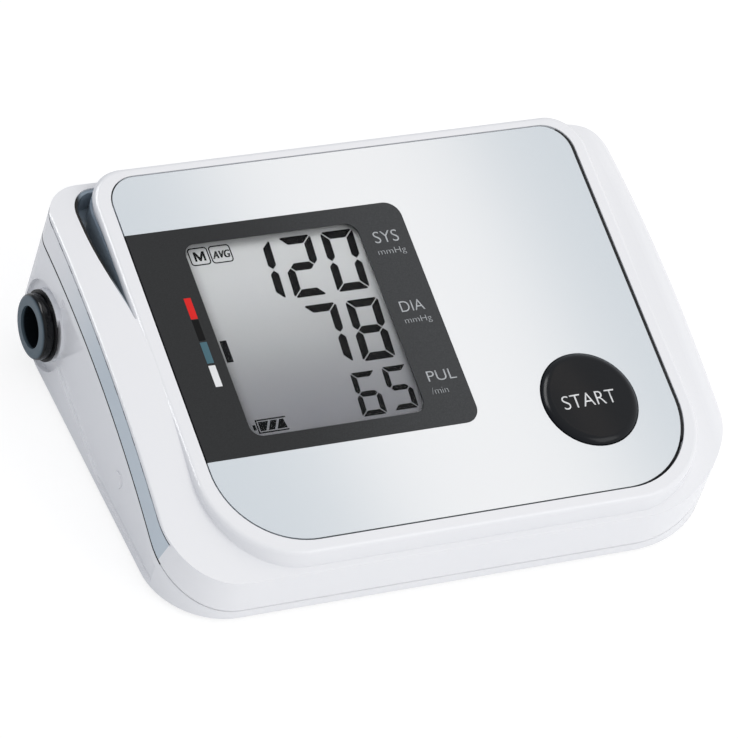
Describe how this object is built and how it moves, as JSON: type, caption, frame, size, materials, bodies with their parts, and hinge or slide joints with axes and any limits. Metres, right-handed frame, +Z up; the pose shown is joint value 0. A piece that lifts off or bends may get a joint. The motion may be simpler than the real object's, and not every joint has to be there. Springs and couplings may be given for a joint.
{
  "type": "upper-arm blood pressure monitor",
  "caption": "Tabletop blood pressure monitor: sloping display, round start button, air socket for an arm cuff, pump, valve and battery bay inside a two-part housing.",
  "frame": {"origin": "on the surface the feet stand on, in the middle of the footprint, the cuff socket's collar included", "axes": "+X to the right of the person who reads the display, -Y towards that person, +Z up"},
  "size_m": [0.1528, 0.1014, 0.0426],
  "materials": {
    "white_plastic": "glossy white",
    "door_plastic": "satin white",
    "silver_fascia": "satin silver",
    "charcoal": "fine-grained charcoal",
    "black_plastic": "glossy black",
    "black_foam": "matt black foam",
    "clear_lens": "clear polished",
    "lcd": "matt grey display glass",
    "natural_plastic": "natural nylon",
    "dark_plastic": "matt black plastic",
    "slate_plastic": "satin slate grey",
    "zebra_rubber": "conductive rubber",
    "circuit_board": "green solder mask",
    "steel": "zinc-plated steel",
    "spring_steel": "bright spring wire",
    "nickel": "nickel-plated contact",
    "aluminium_can": "bare aluminium",
    "ferrite": "sintered ferrite",
    "copper_rotor": "lacquered winding",
    "silicone": "translucent silicone",
    "grey_foam": "foam",
    "foot_rubber": "matt grey rubber",
    "cell_wrap": "plain wrapped cell",
    "brass": "plain brass"
  },
  "bodies": {
    "housing": {"upper_shell": "white_plastic", "lower_shell": "white_plastic", "fascia": "silver_fascia", "fascia_gasket": "black_foam", "display_bezel": "charcoal", "window_lens": "clear_lens", "lcd_glass": "lcd", "lcd_holder": "natural_plastic", "zebra_strips": "zebra_rubber", "tact_switch": "dark_plastic", "button_spring": "spring_steel", "main_board": "circuit_board", "board_screws": "steel", "processor_chip": "dark_plastic", "buzzer": "dark_plastic", "capacitors": "aluminium_can", "pressure_sensor": "natural_plastic", "release_valve": "dark_plastic", "air_manifold": "natural_plastic", "socket_tube": "silicone", "pump_tube": "silicone", "sensor_tube": "silicone", "valve_tube": "silicone", "cuff_socket": "slate_plastic", "socket_washer": "black_foam", "socket_nut": "brass", "pump_head": "natural_plastic", "pump_diaphragm": "black_foam", "pump_crankcase": "dark_plastic", "pump_motor": "steel", "motor_end_cap": "natural_plastic", "motor_magnets": "ferrite", "pump_sleeve": "grey_foam", "batteries": "cell_wrap", "battery_bridge": "nickel", "battery_terminals": "nickel", "battery_springs": "spring_steel", "slot_liner": "slate_plastic", "rubber_feet": "foot_rubber", "housing_screws": "steel"},
    "battery_door": {"battery_door": "door_plastic"},
    "button": {"start_button": "black_plastic", "switch_plunger": "natural_plastic"},
    "valve_pin": {"valve_plunger": "brass"},
    "motor_rotor": {"motor_rotor": "copper_rotor", "pump_crank": "natural_plastic"}
  },
  "joints": [
    {"name": "battery_door_hinge", "type": "hinge", "parent": "housing", "child": "battery_door", "pos_m": [0.0016, -0.0115, 0.00185], "axis": [-1, 0, 0], "range_deg": [0, 80]},
    {"name": "start_button_press", "type": "slide", "parent": "housing", "child": "button", "axis": [0, 0.2419, -0.9703], "range_m": [0, 0.0008], "stiffness_N_per_m": 600, "springref_m": -0.0005, "deforming": ["button_spring"]},
    {"name": "valve_plunger_slide", "type": "slide", "parent": "housing", "child": "valve_pin", "axis": [-1, 0, 0], "range_m": [0, 0.001], "stiffness_N_per_m": 200, "springref_m": -0.0005},
    {"name": "motor_spin", "type": "hinge", "parent": "housing", "child": "motor_rotor", "pos_m": [0.0016, 0.03485, 0.0175], "axis": [1, 0, 0], "continuous": true}
  ]
}
